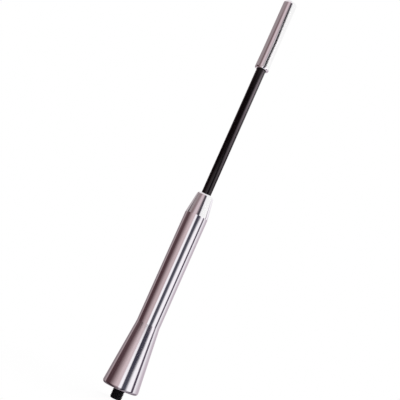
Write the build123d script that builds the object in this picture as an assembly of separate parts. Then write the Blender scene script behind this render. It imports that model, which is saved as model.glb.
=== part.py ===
"""Short screw-on car antenna: a turned aluminium grip sleeve, a black wound mast and an aluminium tip.

Millimetres. The mast stands along +Z. The origin is the centre of the sleeve's bottom face, which seats
on the car's antenna base, so the car-side thread points down along -Z.
"""
import os
from math import radians, tan
from build123d import *

# Grip sleeve, turned from one bar; diameters at its ends are across the sharp corners, before rounding
FOOT_DIAMETER = 18.7
FOOT_ROUND = 1.4
FLARE_HEIGHT = 33.3
GRIP_DIAMETER = 12.0
GRIP_LENGTH = 58.35
NECK_LENGTH = 11.85
NECK_DIAMETER = 8.5
NECK_ROUND = 1.2

# Adapter stud, threaded for the car below the foot and for the sleeve above; diameters over the crests
CAR_THREAD_DIAMETER = 6.0
CAR_THREAD_LENGTH = 5.15
CAR_THREAD_CHAMFER = 0.7
STUD_THREAD_DIAMETER = 5.0
STUD_THREAD_LENGTH = 9.0
STUD_THREAD_CHAMFER = 0.5
STUD_RELIEF_DIAMETER = 4.0
STUD_RELIEF_WIDTH = 1.0
TAP_RUNOUT = 2.0
FOOT_COUNTERSINK_GAP = 0.2

# Mast: a glass-fibre core, the copper winding round it and the black sheath over both
MAST_DIAMETER = 5.0
MAST_SHOWING = 71.2
MAST_IN_SLEEVE = 24.0
MAST_IN_TIP = 18.0
SHEATH_WALL = 0.36
WIRE_DIAMETER = 0.5
WINDING_PITCH = 15.0
WIRE_SIDES = 4

# Brass contact ferrule on the mast's lower end
FERRULE_BODY_LENGTH = 6.0
FERRULE_SPIGOT_LENGTH = 4.0
FERRULE_FLOOR = 3.0
FERRULE_CHAMFER = 0.4

# Tip cap, turned, with a blind bore for the mast's upper end
TIP_LENGTH = 40.3
TIP_DIAMETER = 7.3
TIP_MOUTH_DIAMETER = 7.65
TIP_MOUTH_FLARE = 10.0
TIP_MOUTH_ROUND = 0.9
TIP_END_ROUND = 1.8

# Fits, as radial gaps, and what the drill leaves at the mouth and the floor of a mast bore
THREAD_GAP = 0.03
GLUE_GAP = 0.05
WINDING_GAP = 0.08
BORE_CHAMFER = 0.25
DRILL_POINT_ANGLE = 118.0

# A rounded edge takes at most this share of the wall that it ends
ROUND_SHARE = 0.75

# Heights above the seat
SHOULDER_Z = FLARE_HEIGHT + GRIP_LENGTH
NECK_TOP_Z = SHOULDER_Z + NECK_LENGTH
MAST_BOTTOM_Z = NECK_TOP_Z - MAST_IN_SLEEVE
SHEATH_BOTTOM_Z = MAST_BOTTOM_Z + FERRULE_BODY_LENGTH
SPIGOT_TOP_Z = SHEATH_BOTTOM_Z + FERRULE_SPIGOT_LENGTH
CORE_BOTTOM_Z = MAST_BOTTOM_Z + FERRULE_FLOOR
TIP_BOTTOM_Z = NECK_TOP_Z + MAST_SHOWING
MAST_TOP_Z = TIP_BOTTOM_Z + MAST_IN_TIP
TIP_TOP_Z = TIP_BOTTOM_Z + TIP_LENGTH
STUD_TOP_Z = STUD_RELIEF_WIDTH + STUD_THREAD_LENGTH

# Radii that follow from the fits, from the sheath inwards
MAST_R = MAST_DIAMETER / 2
MAST_BORE_R = MAST_R + GLUE_GAP
SHEATH_BORE_R = MAST_R - SHEATH_WALL
WIRE_R = WIRE_DIAMETER / 2
WINDING_R = SHEATH_BORE_R - WINDING_GAP - WIRE_R
CORE_R = WINDING_R - WIRE_R - WINDING_GAP
TAP_R = STUD_THREAD_DIAMETER / 2 + THREAD_GAP
FOOT_COUNTERSINK_R = CAR_THREAD_DIAMETER / 2 + FOOT_COUNTERSINK_GAP


def at(radius, height):
    """A point of a half section, which lies in the XZ plane."""
    return (radius, 0, height)


def lines(*points):
    """Straight edges from each point to the next."""
    return [Line(start, end) for start, end in zip(points, points[1:])]


def turned(edges):
    """The solid that a closed half section sweeps about the Z axis."""
    return Solid.revolve(Face(Wire(edges)), 360, Axis.Z)


def rounded(solid, height, radius):
    """The solid with its widest circular edge at this height rounded over."""
    rims = solid.edges().filter_by(GeomType.CIRCLE).filter_by_position(Axis.Z, height, height)
    return solid.fillet(radius, [rims.sort_by(SortBy.RADIUS)[-1]])


def drilled_hole(radius, mouth_radius, mouth_z, floor_z):
    """The tool body of a blind hole: countersunk mouth, round wall and the cone of the drill's point."""
    inwards = 1 if floor_z > mouth_z else -1
    point_depth = radius / tan(radians(DRILL_POINT_ANGLE / 2))
    return turned(lines(
        at(0, mouth_z),
        at(mouth_radius, mouth_z),
        at(radius, mouth_z + inwards * (mouth_radius - radius)),
        at(radius, floor_z),
        at(0, floor_z + inwards * point_depth),
        at(0, mouth_z)))


def grip_sleeve():
    """Rounded foot, straight-sided flare, waist crease, grip, shoulder crease and a tapered neck."""
    grip_r = GRIP_DIAMETER / 2
    neck_r = NECK_DIAMETER / 2
    blank = turned(lines(
        at(0, 0),
        at(FOOT_DIAMETER / 2, 0),
        at(grip_r, FLARE_HEIGHT),
        at(grip_r, SHOULDER_Z),
        at(neck_r, NECK_TOP_Z),
        at(0, NECK_TOP_Z),
        at(0, 0)))
    blank = rounded(blank, 0, FOOT_ROUND)
    blank = rounded(blank, NECK_TOP_Z, min(NECK_ROUND, ROUND_SHARE * (neck_r - MAST_BORE_R)))
    tapped_hole = drilled_hole(TAP_R, FOOT_COUNTERSINK_R, 0, STUD_TOP_Z + TAP_RUNOUT)
    mast_bore = drilled_hole(MAST_BORE_R, MAST_BORE_R + BORE_CHAMFER, NECK_TOP_Z, MAST_BOTTOM_Z)
    return blank - tapped_hole - mast_bore


def adapter_stud():
    """Thread for the car, a shoulder on the sleeve's foot, a relief groove and the thread inside the sleeve."""
    car_r = CAR_THREAD_DIAMETER / 2
    relief_r = STUD_RELIEF_DIAMETER / 2
    sleeve_r = STUD_THREAD_DIAMETER / 2
    return turned(lines(
        at(0, -CAR_THREAD_LENGTH),
        at(car_r - CAR_THREAD_CHAMFER, -CAR_THREAD_LENGTH),
        at(car_r, CAR_THREAD_CHAMFER - CAR_THREAD_LENGTH),
        at(car_r, 0),
        at(relief_r, 0),
        at(relief_r, STUD_RELIEF_WIDTH),
        at(sleeve_r, STUD_RELIEF_WIDTH + STUD_THREAD_CHAMFER),
        at(sleeve_r, STUD_TOP_Z - STUD_THREAD_CHAMFER),
        at(sleeve_r - STUD_THREAD_CHAMFER, STUD_TOP_Z),
        at(0, STUD_TOP_Z),
        at(0, -CAR_THREAD_LENGTH)))


def contact_ferrule():
    """Body as wide as the mast, a spigot inside the sheath and a blind bore for the core's end."""
    spigot_r = SHEATH_BORE_R - GLUE_GAP
    bore_r = CORE_R + GLUE_GAP
    return turned(lines(
        at(0, MAST_BOTTOM_Z),
        at(MAST_R - FERRULE_CHAMFER, MAST_BOTTOM_Z),
        at(MAST_R, MAST_BOTTOM_Z + FERRULE_CHAMFER),
        at(MAST_R, SHEATH_BOTTOM_Z),
        at(spigot_r, SHEATH_BOTTOM_Z),
        at(spigot_r, SPIGOT_TOP_Z),
        at(bore_r, SPIGOT_TOP_Z),
        at(bore_r, CORE_BOTTOM_Z),
        at(0, CORE_BOTTOM_Z),
        at(0, MAST_BOTTOM_Z)))


def mast_core():
    """Plain glass-fibre rod from the ferrule's bore to the top of the tip's bore."""
    return turned(lines(
        at(0, CORE_BOTTOM_Z), at(CORE_R, CORE_BOTTOM_Z), at(CORE_R, MAST_TOP_Z), at(0, MAST_TOP_Z),
        at(0, CORE_BOTTOM_Z)))


def antenna_winding():
    """Copper wire wound as one open helix from the ferrule's spigot to the mast's top.

    The wire is drawn with a few flats, inside its round section, to keep its faces few.
    """
    bottom_z = SPIGOT_TOP_Z + WINDING_GAP + WIRE_R
    top_z = MAST_TOP_Z - WINDING_GAP - WIRE_R
    helix = Edge.make_helix(WINDING_PITCH, top_z - bottom_z, WINDING_R, center=(0, 0, bottom_z))
    section = Plane(origin=helix @ 0, z_dir=helix % 0) * RegularPolygon(WIRE_R, WIRE_SIDES)
    return Solid.sweep(section.face(), helix, is_frenet=True)


def mast_sheath():
    """Black tube over the ferrule's spigot, the winding and the core."""
    return turned(lines(
        at(SHEATH_BORE_R, SHEATH_BOTTOM_Z), at(MAST_R, SHEATH_BOTTOM_Z), at(MAST_R, MAST_TOP_Z),
        at(SHEATH_BORE_R, MAST_TOP_Z), at(SHEATH_BORE_R, SHEATH_BOTTOM_Z)))


def tip_cap():
    """Straight cap, flared a little towards its rounded mouth, rounded at its end and drilled for the mast."""
    tip_r = TIP_DIAMETER / 2
    mouth_r = TIP_MOUTH_DIAMETER / 2
    blank = turned(lines(
        at(0, TIP_BOTTOM_Z),
        at(mouth_r, TIP_BOTTOM_Z),
        at(tip_r, TIP_BOTTOM_Z + TIP_MOUTH_FLARE),
        at(tip_r, TIP_TOP_Z),
        at(0, TIP_TOP_Z),
        at(0, TIP_BOTTOM_Z)))
    blank = rounded(blank, TIP_BOTTOM_Z, min(TIP_MOUTH_ROUND, ROUND_SHARE * (mouth_r - MAST_BORE_R)))
    blank = rounded(blank, TIP_TOP_Z, TIP_END_ROUND)
    return blank - drilled_hole(MAST_BORE_R, MAST_BORE_R + BORE_CHAMFER, TIP_BOTTOM_Z, MAST_TOP_Z)


PIECES = (grip_sleeve, adapter_stud, contact_ferrule, mast_core, antenna_winding, mast_sheath, tip_cap)

os.makedirs("parts", exist_ok=True)
for piece in PIECES:
    export_step(piece(), f"parts/{piece.__name__}.step")
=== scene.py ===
# %% [markdown]
# # A short screw-on car antenna
#
# The real object is simple: a polished aluminium sleeve with a flared foot, a black threaded stud under it,
# a slim black rod and a polished aluminium tip. Nothing on it moves. Almost all of its look comes from what
# the polished metal mirrors, so this lesson spends its time on three things: very smooth turned shapes, metal
# with the marks of the lathe and the polishing wheel, and a small studio worth mirroring.
#
# Every length in Blender is in metres. The CAD model is loaded first and fixes where each piece is: the seat,
# where the antenna meets the car, is at height 0, and the mast stands along Z.

# %% Load the CAD frame
from math import asin, atan2, cos, degrees, pi, radians, sin, sqrt, tan

import bmesh
import bpy
from mathutils import Matrix, Vector


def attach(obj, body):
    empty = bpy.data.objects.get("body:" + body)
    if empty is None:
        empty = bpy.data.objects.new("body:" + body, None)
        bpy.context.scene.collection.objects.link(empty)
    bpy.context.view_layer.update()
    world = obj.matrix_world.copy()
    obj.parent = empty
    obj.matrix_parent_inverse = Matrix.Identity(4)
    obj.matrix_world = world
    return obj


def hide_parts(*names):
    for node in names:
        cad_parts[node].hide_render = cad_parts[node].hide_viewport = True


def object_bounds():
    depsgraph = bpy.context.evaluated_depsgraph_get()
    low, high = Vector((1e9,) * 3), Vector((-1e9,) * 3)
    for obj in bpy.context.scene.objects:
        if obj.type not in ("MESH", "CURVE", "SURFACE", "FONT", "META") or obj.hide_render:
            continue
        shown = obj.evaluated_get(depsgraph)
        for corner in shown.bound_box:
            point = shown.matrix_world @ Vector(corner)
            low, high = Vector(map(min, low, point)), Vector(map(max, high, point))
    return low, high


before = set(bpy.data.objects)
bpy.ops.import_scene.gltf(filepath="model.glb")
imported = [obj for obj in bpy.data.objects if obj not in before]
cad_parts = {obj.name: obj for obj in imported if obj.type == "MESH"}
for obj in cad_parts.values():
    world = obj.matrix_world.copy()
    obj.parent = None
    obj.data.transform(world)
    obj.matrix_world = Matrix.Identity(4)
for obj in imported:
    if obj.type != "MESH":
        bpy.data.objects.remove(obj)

MM = 0.001
cad_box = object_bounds()
print("CAD nodes:", sorted(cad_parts))
print("CAD box in mm:", [round(v / MM, 2) for corner in cad_box for v in corner])

# %% [markdown]
# ## The camera
#
# A photograph's perspective is decided by where the camera stands, and only then by its lens. Here it stands
# about 41 cm away, a little above the foot, and looks slightly up. The picture leans because the camera was
# rolled, not because the antenna leans. So the antenna stands upright, and the camera is rolled.
#
# The camera's own axes are worked out as vectors: forward to the aim point, right across it, and up. Rolling
# is then a small rotation of right and up in the plane of the picture.

# %% Stand the camera
CAMERA_DISTANCE = 409.9 * MM
CAMERA_HEIGHT = 32.4 * MM
AIM_HEIGHT = 99.9 * MM
AIM_LEFT_OF_MAST = 1.58 * MM
CAMERA_ROLL = radians(24.0)
FIELD_OF_VIEW = radians(27.06)

eye = Vector((0, -CAMERA_DISTANCE, CAMERA_HEIGHT))
forward = (Vector((-AIM_LEFT_OF_MAST, 0, AIM_HEIGHT)) - eye).normalized()
level_right = forward.cross(Vector((0, 0, 1))).normalized()
level_up = level_right.cross(forward)
right = level_right * cos(CAMERA_ROLL) + level_up * sin(CAMERA_ROLL)
up = level_up * cos(CAMERA_ROLL) - level_right * sin(CAMERA_ROLL)

lens = bpy.data.cameras.new("product_camera")
lens.sensor_fit = "HORIZONTAL"
lens.sensor_width = 36.0
lens.lens = lens.sensor_width / 2 / tan(FIELD_OF_VIEW / 2)
lens.clip_start = 0.01
camera = bpy.data.objects.new("product_camera", lens)
camera.matrix_world = Matrix.Translation(eye) @ Matrix((right, up, -forward)).transposed().to_4x4()
bpy.context.scene.collection.objects.link(camera)
bpy.context.scene.camera = camera
bpy.context.scene.view_settings.view_transform = "Standard"
print(f"camera: {lens.lens:.1f} mm lens, pitched up {degrees(asin(forward.z)):.1f} degrees")

# %% [markdown]
# ## Turned shapes
#
# Sleeve, tip and stud all come off a lathe, so all three come from one helper: a list of corners in the half
# plane (radius, height) that is swept round the Z axis. Blender's Screw modifier could do that too. Mesh code
# is used because it gives each piece a known number of facets and makes real corners: a turned corner is
# never quite sharp, so each corner is given an easing, the radius of the short arc that replaces it.
#
# Polished metal shows the slightest dent in its shading. A smooth normal is averaged from the faces that
# meet at a point, so at the end of a long run it would lean towards the arc that follows. One extra point
# very close to each end of a run keeps the rest of that run true.

# %% Draw half a section
HOLD = 0.04 * MM  # how far from a run's end its extra point lies
LONG_RUN = 10 * HOLD


def eased(before, corner, after, radius, steps=12):
    """The arc that rounds one corner, as points from the side of `before` to the side of `after`."""
    before, corner, after = Vector(before), Vector(corner), Vector(after)
    back, on = (before - corner).normalized(), (after - corner).normalized()
    half = back.angle(on) / 2
    centre = corner + (back + on).normalized() * radius / sin(half)
    first = corner + back * radius / tan(half) - centre
    last = corner + on * radius / tan(half) - centre
    start = atan2(first.y, first.x)
    sweep = (atan2(last.y, last.x) - start + pi) % (2 * pi) - pi
    angles = [start + sweep * step / steps for step in range(steps + 1)]
    return [(centre.x + radius * cos(angle), centre.y + radius * sin(angle)) for angle in angles]


def half_section(corners):
    """The outline through corners given in millimetres as (radius, height, easing)."""
    corners = [(radius * MM, height * MM, easing * MM) for radius, height, easing in corners]
    points = []
    for index, (radius, height, easing) in enumerate(corners):
        if easing:
            points += eased(corners[index - 1][:2], (radius, height), corners[index + 1][:2], easing)
        else:
            points.append((radius, height))
    outline = points[:1]
    for start, end in zip(points, points[1:]):
        run = Vector(end) - Vector(start)
        if run.length > LONG_RUN:
            nudge = run.normalized() * HOLD
            outline += [tuple(Vector(start) + nudge), tuple(Vector(end) - nudge)]
        outline.append(end)
    return outline


print("a rounded corner between two runs:", len(half_section([(0, 0, 0), (5, 0, 1), (5, 9, 0)])), "points")

# %% Sweep it round the axis
ON_AXIS = 1e-6 * MM


def turned(name, outline, steps, cut=None):
    """A piece swept round the Z axis. `cut` may lower a point's radius, given its angle and height."""
    build = bmesh.new()
    rings = []
    for radius, height in outline:
        if radius < ON_AXIS:
            rings.append([build.verts.new((0, 0, height))])
            continue
        ring = []
        for step in range(steps):
            angle = 2 * pi * step / steps
            reach = min(radius, cut(angle, height)) if cut else radius
            ring.append(build.verts.new((reach * cos(angle), reach * sin(angle), height)))
        rings.append(ring)
    for lower, upper in zip(rings, rings[1:]):
        for step in range(steps):
            after = (step + 1) % steps
            around = [lower[step % len(lower)], lower[after % len(lower)],
                      upper[after % len(upper)], upper[step % len(upper)]]
            build.faces.new(list(dict.fromkeys(around))).smooth = True
    mesh = bpy.data.meshes.new(name)
    build.to_mesh(mesh)
    build.free()
    piece = bpy.data.objects.new(name, mesh)
    bpy.context.scene.collection.objects.link(piece)
    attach(piece, "root")
    size = [round(v / MM, 2) for v in piece.dimensions]
    print(f"{name}: {len(mesh.polygons)} faces, {size} mm")
    return piece

# %% [markdown]
# ## The grip sleeve
#
# The real sleeve is one aluminium bar: a rounded foot, a straight flare up to a crisp waist, a straight grip,
# a shoulder and a short tapered neck. The tapped hole in its foot and the drilled bore for the rod are part
# of the same outline, so the mesh is one closed skin. It is rebuilt here, on the CAD's sizes, because 192
# steps round mirror a clean stripe where the CAD's coarser facets would break it.
#
# The outline starts at the bottom of the tapped hole, comes out through its countersink, runs across the
# seat, up the outside, and goes back down the bore.

# %% Turn the grip sleeve
STEPS_ROUND = 192
FOOT_RADIUS, GRIP_RADIUS, NECK_RADIUS = 9.35, 6.0, 4.25
WAIST, SHOULDER, NECK_TOP = 33.3, 91.65, 103.5
FOOT_ROUND, CREASE_EASING, NECK_ROUND = 1.4, 0.15, 1.2
TAPPED_RADIUS, TAPPED_FLOOR, COUNTERSINK_RADIUS = 2.53, 12.0, 3.2
BORE_RADIUS, BORE_FLOOR = 2.55, 79.5
BORE_CHAMFER, BORE_EASING = 0.25, 0.05
DRILL_POINT = 1 / tan(radians(118 / 2))  # depth of the drill's point for each millimetre of its radius

sleeve = turned("grip_sleeve_turned", half_section([
    (0, TAPPED_FLOOR + TAPPED_RADIUS * DRILL_POINT, 0),
    (TAPPED_RADIUS, TAPPED_FLOOR, 0),
    (TAPPED_RADIUS, COUNTERSINK_RADIUS - TAPPED_RADIUS, 0),
    (COUNTERSINK_RADIUS, 0, 0),
    (FOOT_RADIUS, 0, FOOT_ROUND),
    (GRIP_RADIUS, WAIST, CREASE_EASING),
    (GRIP_RADIUS, SHOULDER, CREASE_EASING),
    (NECK_RADIUS, NECK_TOP, NECK_ROUND),
    (BORE_RADIUS + BORE_CHAMFER, NECK_TOP, BORE_EASING),
    (BORE_RADIUS, NECK_TOP - BORE_CHAMFER, 0),
    (BORE_RADIUS, BORE_FLOOR, 0),
    (0, BORE_FLOOR - BORE_RADIUS * DRILL_POINT, 0)]), STEPS_ROUND)
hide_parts("grip_sleeve")

# %% [markdown]
# ## The tip cap
#
# The cap is a straight aluminium tube, closed and rounded at its end. Its mouth swells by less than two tenths
# of a millimetre over the last centimetre. That swelling needs a very long easing, because a change of slope
# of one degree would already put a kink in the dark line that the tip mirrors. The lip is rounded. It is only
# a millimetre across, but it mirrors the whole room in miniature, so it gets as many points as the foot.

# %% Turn the tip cap
TIP_BOTTOM, TIP_TOP, TIP_BORE_FLOOR = 174.7, 215.0, 192.7
TIP_RADIUS, MOUTH_RADIUS = 3.65, 3.825
LIP_ROUND, END_ROUND = 0.9, 1.8
SWELLING_LENGTH, SWELLING_EASING = 10.0, 600.0

tip = turned("tip_cap_turned", half_section([
    (0, TIP_BORE_FLOOR + BORE_RADIUS * DRILL_POINT, 0),
    (BORE_RADIUS, TIP_BORE_FLOOR, 0),
    (BORE_RADIUS, TIP_BOTTOM + BORE_CHAMFER, 0),
    (BORE_RADIUS + BORE_CHAMFER, TIP_BOTTOM, BORE_EASING),
    (MOUTH_RADIUS, TIP_BOTTOM, LIP_ROUND),
    (TIP_RADIUS, TIP_BOTTOM + SWELLING_LENGTH, SWELLING_EASING),
    (TIP_RADIUS, TIP_TOP, END_ROUND),
    (0, TIP_TOP, 0)]), STEPS_ROUND)
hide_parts("tip_cap")

# %% [markdown]
# ## The threaded stud
#
# The CAD carries the stud's threads as plain cylinders over their crests. The real thread is a ridge with
# 60 degree flanks that climbs one pitch a turn. It could be swept as a separate ridge along a helix, but then
# its ends and its chamfer need trimming. Here the stud is turned like the other pieces, from many thin rings,
# and each point is pulled in to the depth that the thread has at that angle and height. The smaller of the
# thread and the outline wins, which is just how a chamfer cuts across a real thread. The thick black finish
# fills the roots, so they are flat and a little shallow.

# %% Work out the threads
CAR_RADIUS, CAR_PITCH = 3.0, 0.75
SLEEVE_RADIUS, SLEEVE_PITCH = 2.5, 0.8
CREST_HALF_WIDTH = 1 / 16  # of a pitch
FLANK_SLOPE = sqrt(3)  # depth for each millimetre off the crest, on flanks 60 degrees apart
ROOT_DEPTH = 0.4  # of a pitch: a sharp root is 0.61 deep, and the black finish fills it
BETWEEN_THREADS = 0.5
RUN_OUT_TOP, RUN_OUT_LENGTH = -0.25, 0.5


def thread_radius(angle, height):
    """How far out the thread's surface stands, in metres, for a point at this angle and height."""
    z = height / MM
    below = z < BETWEEN_THREADS
    crest, pitch = (CAR_RADIUS, CAR_PITCH) if below else (SLEEVE_RADIUS, SLEEVE_PITCH)
    along = (z / pitch - angle / (2 * pi)) % 1.0
    off_crest = (min(along, 1.0 - along) - CREST_HALF_WIDTH) * pitch
    depth = min(max(off_crest * FLANK_SLOPE, 0.0), ROOT_DEPTH * pitch)
    if below:
        depth *= min(max((RUN_OUT_TOP - z) / RUN_OUT_LENGTH, 0.0), 1.0)
    return (crest - depth) * MM


print(f"thread roots: {ROOT_DEPTH * CAR_PITCH:.2f} mm deep below, {ROOT_DEPTH * SLEEVE_PITCH:.2f} mm above")

# %% Turn the stud
STUD_STEPS_ROUND = 120
RING_EVERY = 0.05
CAR_END, CAR_CHAMFER, END_EASING = -5.15, 0.7, 0.1
STUD_TOP, SLEEVE_CHAMFER = 10.0, 0.5
RELIEF_RADIUS, RELIEF_BOTTOM, RELIEF_TOP = 2.0, 0.02, 1.0


def ringed(outline, every):
    """The same outline with a point at least every so many millimetres of its length."""
    fine = outline[:1]
    for start, end in zip(outline, outline[1:]):
        count = max(1, round((Vector(end) - Vector(start)).length / (every * MM)))
        fine += [tuple(Vector(start).lerp(Vector(end), step / count)) for step in range(1, count + 1)]
    return fine


stud_outline = half_section([
    (0, CAR_END, 0),
    (CAR_RADIUS - CAR_CHAMFER, CAR_END, END_EASING),
    (CAR_RADIUS, CAR_END + CAR_CHAMFER, 0),
    (CAR_RADIUS, 0, 0),
    (RELIEF_RADIUS, RELIEF_BOTTOM, 0),
    (RELIEF_RADIUS, RELIEF_TOP, 0),
    (SLEEVE_RADIUS, RELIEF_TOP + SLEEVE_CHAMFER, 0),
    (SLEEVE_RADIUS, STUD_TOP - SLEEVE_CHAMFER, 0),
    (SLEEVE_RADIUS - SLEEVE_CHAMFER, STUD_TOP, 0),
    (0, STUD_TOP, 0)])
stud = turned("adapter_stud_threaded", ringed(stud_outline, RING_EVERY), STUD_STEPS_ROUND, thread_radius)
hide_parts("adapter_stud")

# %% [markdown]
# ## Writing materials as sums
#
# A procedural material is a network of nodes, and a network is hard to read as a list of links. Two small
# classes make it read like arithmetic. `Signal` wraps what leaves a socket: writing `a * 0.5 + b` adds the
# two Math nodes that work it out, and `1 - mask` works too because the reflected forms are there.
# `Recipe` holds one material's nodes, and its `node` method adds any node from its type, its settings and
# what goes into its sockets. Colours never go through Math nodes, which would turn them grey, but through Mix.

# %% Arithmetic with sockets
class Signal:
    """What leaves one socket. Arithmetic with it adds the Math node that does the sum."""

    def __init__(self, recipe, socket):
        self.recipe, self.socket = recipe, socket

    def output(self, name):
        """Another output of the same node."""
        return Signal(self.recipe, self.socket.node.outputs[name])

    def __add__(self, other):
        return self.recipe.maths("ADD", self, other)

    def __sub__(self, other):
        return self.recipe.maths("SUBTRACT", self, other)

    def __rsub__(self, other):
        return self.recipe.maths("SUBTRACT", other, self)

    def __mul__(self, other):
        return self.recipe.maths("MULTIPLY", self, other)

    def __pow__(self, other):
        return self.recipe.maths("POWER", self, other)

    __radd__, __rmul__ = __add__, __mul__

    def rises(self, start, end):
        """0 up to `start`, 1 from `end` on, and a smooth slope between. With start over end it falls."""
        low, high = sorted((start, end))
        return self.recipe.node("ShaderNodeMapRange", {"interpolation_type": "SMOOTHSTEP"}, {
            "Value": self, "From Min": low, "From Max": high,
            "To Min": float(start > end), "To Max": float(start < end)})

# %% One material's nodes
COLUMN, ROW, COLUMNS = 190, 260, 12  # how the nodes are laid out in the editor


class Recipe:
    """The node network of one material, or of the world."""

    def __init__(self, owner):
        owner.use_nodes = True
        self.owner, self.tree = owner, owner.node_tree
        self.tree.nodes.clear()

    def node(self, kind, settings=None, inputs=None):
        """Adds a node: settings first, then a value or a Signal for each socket, by name or number."""
        made = self.tree.nodes.new(kind)
        row, column = divmod(len(self.tree.nodes), COLUMNS)
        made.location = (COLUMN * column, -ROW * row)
        for name, value in (settings or {}).items():
            setattr(made, name, value)
        for key, value in (inputs or {}).items():
            sockets = [socket for socket in made.inputs if socket.enabled and socket.name == key]
            socket = made.inputs[key] if isinstance(key, int) else sockets[0]
            if isinstance(value, Signal):
                self.tree.links.new(value.socket, socket)
            elif socket.type == "RGBA":
                socket.default_value = (*value, 1.0)
            else:
                socket.default_value = value
        return Signal(self, next((socket for socket in made.outputs if socket.enabled), None))

    def maths(self, operation, *values):
        """A Math node on one, two or three values or Signals."""
        return self.node("ShaderNodeMath", {"operation": operation}, dict(enumerate(values)))

    def rays(self):
        """Two signals: 1 for a ray from the camera, and 1 for a mirrored ray or one through glass."""
        ray = self.node("ShaderNodeLightPath")
        glossy, through = ray.output("Is Glossy Ray"), ray.output("Is Transmission Ray")
        return ray.output("Is Camera Ray"), self.maths("MAXIMUM", glossy, through)

    def mix(self, first, second, factor):
        """A colour on its way from `first` to `second`."""
        return self.node("ShaderNodeMix", {"data_type": "RGBA"}, {"Factor": factor, "A": first, "B": second})

    def noise(self, place, scale, detail=2.0, roughness=0.5):
        """Cloudy noise between about 0.3 and 0.7, at `scale` patches a metre."""
        return self.node("ShaderNodeTexNoise", {"noise_dimensions": "3D"}, {
            "Vector": place, "Scale": scale, "Detail": detail, "Roughness": roughness})

    def stretched(self, place, x, y, z):
        """The same place with each axis scaled, which stretches any texture read there."""
        return self.node("ShaderNodeVectorMath", {"operation": "MULTIPLY"}, {0: place, 1: (x, y, z)})

# %% Start and end a finish
def finish_for(name, slot, *pieces):
    """A new material on these pieces, as an empty recipe."""
    material = bpy.data.materials.new(name)
    for piece in pieces:
        piece.data.materials.clear()
        piece.data.materials.append(material)
    return Recipe(material)


def surface(recipe, **sockets):
    """Ends a material's recipe with its shader. Socket names are written with underscores for spaces."""
    named = {name.replace("_", " "): value for name, value in sockets.items()}
    shader = recipe.node("ShaderNodeBsdfPrincipled", {}, named)
    recipe.node("ShaderNodeOutputMaterial", {}, {"Surface": shader})
    print(f"{recipe.owner.name}: {len(recipe.tree.nodes)} nodes")

# %% [markdown]
# ## Polished aluminium
#
# Turned metal keeps very fine rings from the tool, then a polishing wheel blurs them and adds short random
# scratches. All of it is far finer than a facet, so it belongs in the material. The rings are noise that is
# squeezed to almost nothing along Z and stretched round the piece. They go into Bump, and a little into
# Roughness, because a groove also scatters light. Larger soft patches stand for handling: they only change
# how sharp the mirror is.

# %% Aluminium for sleeve and tip
aluminium = finish_for("polished_aluminium", "polished_aluminium", sleeve, tip)
place = aluminium.node("ShaderNodeTexCoord").output("Object")
rings = aluminium.noise(aluminium.stretched(place, 40, 40, 9000), 1.0, 3.0, 0.6)
scratches = aluminium.noise(aluminium.stretched(place, 5200, 5200, 420), 1.0, 1.0).rises(0.66, 0.74)
handling = aluminium.noise(place, 160, 3.0)
surface(
    aluminium,
    Base_Color=aluminium.mix((0.83, 0.82, 0.83), (0.79, 0.78, 0.79), handling),
    Metallic=1.0,
    Roughness=0.035 + handling * 0.055 + rings * 0.03 + scratches * 0.05,
    Normal=aluminium.node("ShaderNodeBump", {}, {
        "Strength": 0.14, "Distance": 0.005 * MM, "Height": rings - scratches * 0.3}))

# %% [markdown]
# ## The black sheath
#
# The rod's skin is an extruded black plastic with a fairly glossy face. Extruding leaves faint lines along its
# length, the opposite way to the lathe's rings, and the skin has a fine grain. Both are bump, and both make
# the gloss a little uneven. Dust settles in patches and lifts the black by a hair.

# %% Sheath plastic
sheath = finish_for("black_sheath_plastic", "black_sheath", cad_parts["mast_sheath"])
place = sheath.node("ShaderNodeTexCoord").output("Object")
die_lines = sheath.noise(sheath.stretched(place, 2600, 2600, 25), 1.0, 2.0)
grain = sheath.noise(place, 5200, 2.0)
dust = sheath.noise(place, 300, 4.0, 0.65).rises(0.52, 0.72)
surface(
    sheath,
    Base_Color=sheath.mix((0.0045, 0.002, 0.0026), (0.0085, 0.0046, 0.006), dust),
    Roughness=0.07 + die_lines * 0.04 + grain * 0.03,
    Specular_IOR_Level=0.44,
    Normal=sheath.node("ShaderNodeBump", {}, {
        "Strength": 0.2, "Distance": 0.01 * MM, "Height": die_lines + grain * 0.5}))

# %% [markdown]
# ## The stud's black steel
#
# Black oxide is a thin dark skin on steel. It wears first on the crests of the thread, where a little steel
# shines through, and it stays dull and dark in the roots. How far a point is from the axis says where it is
# on the thread, so the wear follows a distance worked out in the material. The crests' wear is broken up by
# noise, because no real wear is even.

# %% Black oxide steel
WEAR_DEPTH = 0.1
steel = finish_for("black_oxide_steel", "black_stud", stud)
place = steel.node("ShaderNodeTexCoord").output("Object")
axes = steel.node("ShaderNodeSeparateXYZ", {}, {"Vector": place})
from_axis = (axes.output("X") ** 2.0 + axes.output("Y") ** 2.0) ** 0.5
mottle = steel.noise(place, 1900, 3.0)
wear = from_axis.rises((CAR_RADIUS - WEAR_DEPTH) * MM, CAR_RADIUS * MM) * mottle.rises(0.5, 0.68)
surface(
    steel,
    Base_Color=steel.mix((0.005, 0.005, 0.006), (0.09, 0.088, 0.085), wear * 0.5),
    Metallic=wear * 0.7,
    Roughness=0.5 - wear * 0.14 + mottle * 0.1,
    Specular_IOR_Level=0.25,
    Normal=steel.node("ShaderNodeBump", {}, {"Strength": 0.3, "Distance": 0.01 * MM, "Height": mottle}))

# %% [markdown]
# ## The hidden pieces
#
# A brass ferrule, a glass-fibre core and a copper winding are inside. They show only when the antenna is
# taken apart, but a part in a library may be, so each gets the finish of the real thing: turned brass with
# tool rings, pale fibre with strands that run along the rod, and bright drawn wire under clear enamel.

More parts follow.
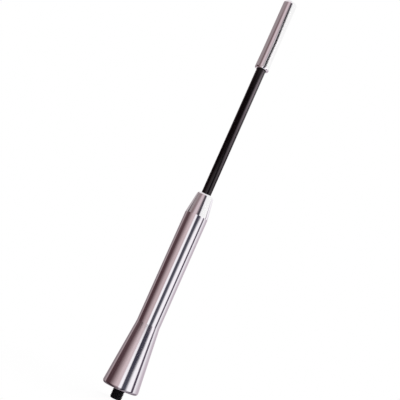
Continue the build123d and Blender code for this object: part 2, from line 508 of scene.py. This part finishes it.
# %% Brass, glass fibre and copper
brass = finish_for("turned_brass", "brass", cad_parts["contact_ferrule"])
place = brass.node("ShaderNodeTexCoord").output("Object")
rings = brass.noise(brass.stretched(place, 60, 60, 7000), 1.0, 2.0)
surface(
    brass,
    Base_Color=brass.mix((0.78, 0.58, 0.26), (0.62, 0.43, 0.18), brass.noise(place, 700, 3.0)),
    Metallic=1.0,
    Roughness=0.24 + rings * 0.14,
    Normal=brass.node("ShaderNodeBump", {}, {"Strength": 0.4, "Distance": 0.01 * MM, "Height": rings}))

fibre = finish_for("glass_fibre", "glass_fibre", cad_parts["mast_core"])
place = fibre.node("ShaderNodeTexCoord").output("Object")
strands = fibre.noise(fibre.stretched(place, 6000, 6000, 45), 1.0, 2.0)
surface(
    fibre,
    Base_Color=fibre.mix((0.80, 0.79, 0.67), (0.66, 0.64, 0.50), strands),
    Roughness=0.42 + strands * 0.2,
    Normal=fibre.node("ShaderNodeBump", {}, {"Strength": 0.4, "Distance": 0.02 * MM, "Height": strands}))

copper = finish_for("enamelled_copper", "copper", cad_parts["antenna_winding"])
place = copper.node("ShaderNodeTexCoord").output("Object")
enamel = copper.noise(place, 900, 2.0)
surface(
    copper,
    Base_Color=copper.mix((0.72, 0.38, 0.24), (0.56, 0.26, 0.14), enamel),
    Metallic=1.0,
    Roughness=0.22 + enamel * 0.14,
    Coat_Weight=1.0,
    Coat_Roughness=0.1)

# %% [markdown]
# ## A studio worth mirroring
#
# Polished metal has no look of its own: it shows the room. A plain white room would make this antenna vanish,
# which is why product photographers stand dark boards beside bright metal. The stripes that run along the
# sleeve are those boards, squeezed sideways by the round surface.
#
# Real boards could be modelled as planes, but they would shade the floor and show in other views. The world
# can hold them instead, as soft-edged panels round the horizon, each with a range of compass directions and
# of heights. Direction 0 is behind the camera and grows to the camera's right, in degrees.
#
# Height tells the pieces apart. From this camera, the grip and the flare mirror what stands up to 12 degrees
# above the horizon, the rod what stands between 10 and 19, and the tip and the neck what stands above that. So
# a dark lintel round the room keeps the rod black, a lamp let into it draws the rod's one highlight, and the
# boards over it draw the dark line down the tip. The flare mirrors lower parts of the room towards its sides
# than at its middle, so the lintel and the lamp each step down there, in panels of their own.
#
# Only mirrored rays see the panels. The camera sees a plain white backdrop, and diffuse light comes from an
# even white world, so colours stay as they were written.

# %% Panels round the horizon
WHITE = (1.13, 1.10, 1.15)
LINTEL = (0.015, 0.01, 0.012)
BOARD = (0.01, 0.008, 0.012)

# name, colour, then each edge with its softness in degrees: left, right, bottom, top
PANELS = (
    ("ceiling", (0.98, 0.93, 0.95), (-200, 1), (200, 1), (43, 7), (95, 7)),
    ("upper wall", (0.37, 0.308, 0.322), (-186, 14), (6, 14), (15, 5), (35, 5)),
    ("upper white", (1.12, 1.13, 1.12), (30, 12), (200, 1), (19, 2), (95, 7)),
    ("upper curtain", (0.2, 0.13, 0.14), (-70, 10), (-31, 10), (13, 5), (23.5, 1)),
    ("curtain head", (0.38, 0.28, 0.295), (-76, 10), (-47, 9), (23.5, 1), (36, 5)),
    ("upper rose", (0.74, 0.61, 0.65), (-42, 12), (-6, 12), (13, 5), (36, 5)),
    ("board foot", BOARD, (18, 6), (53, 6), (13, 1), (21.7, 0.4)),
    ("board waist", BOARD, (12, 6), (43, 6), (21.2, 0.4), (22.9, 0.4)),
    ("board shoulder", (0.015, 0.011, 0.017), (4, 6), (33, 6), (22.3, 0.4), (24, 0.4)),
    ("board head", (0.07, 0.057, 0.075), (-4, 9), (23, 5), (23.4, 0.4), (30, 0.7)),
    ("left wall", (0.63, 0.495, 0.515), (-172, 3), (-13, 3), (-95, 3), (12.5, 3)),
    ("left glow", (0.78, 0.64, 0.67), (-34, 10), (-10, 5), (7, 3), (11.8, 0.6)),
    ("left rim", (0.29, 0.245, 0.265), (-162, 14), (-121, 14), (-95, 4), (14, 4)),
    ("left curtain", (0.14, 0.085, 0.095), (-102, 24), (-52, 24), (-95, 3), (14, 3)),
    ("dark curtain", (0.085, 0.045, 0.053), (-112, 6), (-73, 6), (-95, 6), (10, 6)),
    ("navy board", (0.085, 0.083, 0.113), (7.2, 4), (38, 10), (-95, 3), (15, 2)),
    ("navy board foot", (0.05, 0.047, 0.073), (10.5, 3.5), (47, 10), (8.1, 1.2), (15, 2)),
    ("plum line", (0.09, 0.067, 0.105), (72, 3.5), (90, 3.5), (-95, 3), (9.6, 1.5)),
    ("lilac wall", (0.63, 0.545, 0.61), (108, 26), (220, 26), (-95, 3), (13, 3)),
    ("lintel", LINTEL, (-112, 6), (112, 6), (11.9, 0.3), (19, 0.3)),
    ("left lintel", LINTEL, (-136, 6), (-50, 6), (10.2, 0.5), (14.4, 0.5)),
    ("right lintel", LINTEL, (66, 6), (136, 6), (10.2, 0.5), (14.4, 0.5)),
    ("strip lamp", (2.55, 2.15, 2.4), (31, 26), (88, 22), (12.7, 0.4), (19.1, 0.3)),
    ("strip lamp knee", (2.4, 2.05, 2.25), (46, 14), (88, 22), (11.7, 0.4), (13.1, 0.4)),
    ("strip lamp foot", (2.2, 1.9, 2.1), (66, 6), (90, 22), (10.2, 0.5), (12.3, 0.5)),
    ("strip lamp head", (5.8, 4.9, 5.5), (43, 20), (88, 22), (16.3, 1), (19, 0.3)),
)

# %% Build the world
world = bpy.data.worlds.new("studio")
bpy.context.scene.world = world
studio = Recipe(world)
towards = studio.node("ShaderNodeTexCoord").output("Generated")
facing = studio.node("ShaderNodeSeparateXYZ", {}, {"Vector": towards})
direction = studio.maths("ARCTAN2", facing.output("X"), 0 - facing.output("Y")) * degrees(1)
height = studio.maths("ARCSINE", facing.output("Z")) * degrees(1)
room = WHITE
for name, colour, left_edge, right_edge, bottom, top in PANELS:
    panel = 1.0
    for across, (edge, softness), inwards in (
            (direction, left_edge, 1), (direction, right_edge, -1), (height, bottom, 1), (height, top, -1)):
        panel = across.rises(edge - inwards * softness, edge + inwards * softness) * panel
    room = studio.mix(room, colour, panel)
print("panels:", ", ".join(row[0] for row in PANELS))

# %% [markdown]
# Light Path says what kind of ray is asking. The three answers are mixed with it: the even light for diffuse
# rays, the room for glossy and transmission rays, and plain white, strength 1, for the camera.

# %% What each kind of ray sees
SOFT_LIGHT = (0.62, 0.62, 0.62)
PLAIN_WHITE = (1.0, 1.0, 1.0)

by_camera, by_mirror = studio.rays()
seen = studio.mix(studio.mix(SOFT_LIGHT, room, by_mirror), PLAIN_WHITE, by_camera)
background = studio.node("ShaderNodeBackground", {}, {"Color": seen, "Strength": 1.0})
studio.node("ShaderNodeOutputWorld", {}, {"Surface": background})
print("world nodes:", len(studio.tree.nodes))

# %% [markdown]
# ## Floor and lamp
#
# The antenna stands on the end of its stud on a pale round table. The table is lit like any other surface, so
# it keeps the antenna's soft shadow. Where the camera looks at it, plain white is mixed in, as an overexposed
# table shows, and towards its rim the white takes over, so the table has no edge against the backdrop.
#
# In the polished metal, a white table would put a bright rim round the foot, where the photographer's boards
# ran right down. So a mirrored ray goes through the table to the room's panels, which reach far below the
# horizon, and the stripes run on to the foot's very edge. Close to the foot, where the table lies in the
# antenna's own shade, those rays are dimmed.
#
# One large lamp hangs above and behind, as a softbox does over a product table. It throws the shadow forward,
# and the world's even light keeps that shadow pale. The lamp itself isn't mirrored, because from above it
# would fill the tip's flat end with white.

# %% Lay the floor
FLOOR_RADIUS = 140 * MM
FLOOR_HEIGHT = cad_box[0][2]

build = bmesh.new()
bmesh.ops.create_circle(build, cap_ends=True, segments=96, radius=FLOOR_RADIUS)
mesh = bpy.data.meshes.new("table_top")
build.to_mesh(mesh)
build.free()
floor = bpy.data.objects.new("table_top", mesh)
floor.location.z = FLOOR_HEIGHT
bpy.context.scene.collection.objects.link(floor)
print(f"floor at {FLOOR_HEIGHT / MM:.2f} mm")

# %% Paint the floor
SHADOW_KEPT = 0.05  # how much of the lit table the camera sees near the antenna
WHITE_FROM, WHITE_TO = 30 * MM, 120 * MM
SHADE_FROM, SHADE_TO = 20 * MM, 35 * MM

paper = Recipe(bpy.data.materials.new("pale_table"))
mesh.materials.append(paper.owner)
by_camera, by_mirror = paper.rays()
place = paper.node("ShaderNodeTexCoord").output("Object")
out = paper.node("ShaderNodeVectorMath", {"operation": "LENGTH"}, {0: place}).output("Value")
matt = paper.node("ShaderNodeBsdfDiffuse", {}, {"Color": (0.8, 0.8, 0.8)})
glow = paper.node("ShaderNodeEmission", {}, {"Color": PLAIN_WHITE, "Strength": 1.0})
whiter = by_camera * (1 - SHADOW_KEPT + out.rises(WHITE_FROM, WHITE_TO) * SHADOW_KEPT)
table = paper.node("ShaderNodeMixShader", {}, {0: whiter, 1: matt, 2: glow})
shade = paper.node("ShaderNodeBsdfTransparent", {}, {"Color": (0.42, 0.4, 0.42)})
clear = paper.node("ShaderNodeBsdfTransparent", {}, {"Color": PLAIN_WHITE})
beyond = paper.node("ShaderNodeMixShader", {}, {0: out.rises(SHADE_FROM, SHADE_TO), 1: shade, 2: clear})
shown = paper.node("ShaderNodeMixShader", {}, {0: by_mirror, 1: table, 2: beyond})
paper.node("ShaderNodeOutputMaterial", {}, {"Surface": shown})
print("table nodes:", len(paper.tree.nodes))

# %% Hang the lamp
LAMP_PLACE, LAMP_AIM = Vector((0.05, 0.4, 0.8)), Vector((0, 0, 0.05))

lamp = bpy.data.lights.new("softbox", "AREA")
lamp.shape = "DISK"
lamp.size = 0.5
lamp.energy = 5.0
softbox = bpy.data.objects.new("softbox", lamp)
softbox.location = LAMP_PLACE
softbox.rotation_mode = "QUATERNION"
softbox.rotation_quaternion = (LAMP_AIM - LAMP_PLACE).to_track_quat("-Z", "Y")
softbox.visible_glossy = False
bpy.context.scene.collection.objects.link(softbox)
print(f"lamp: {lamp.energy} W, {(LAMP_AIM - LAMP_PLACE).length:.2f} m away")
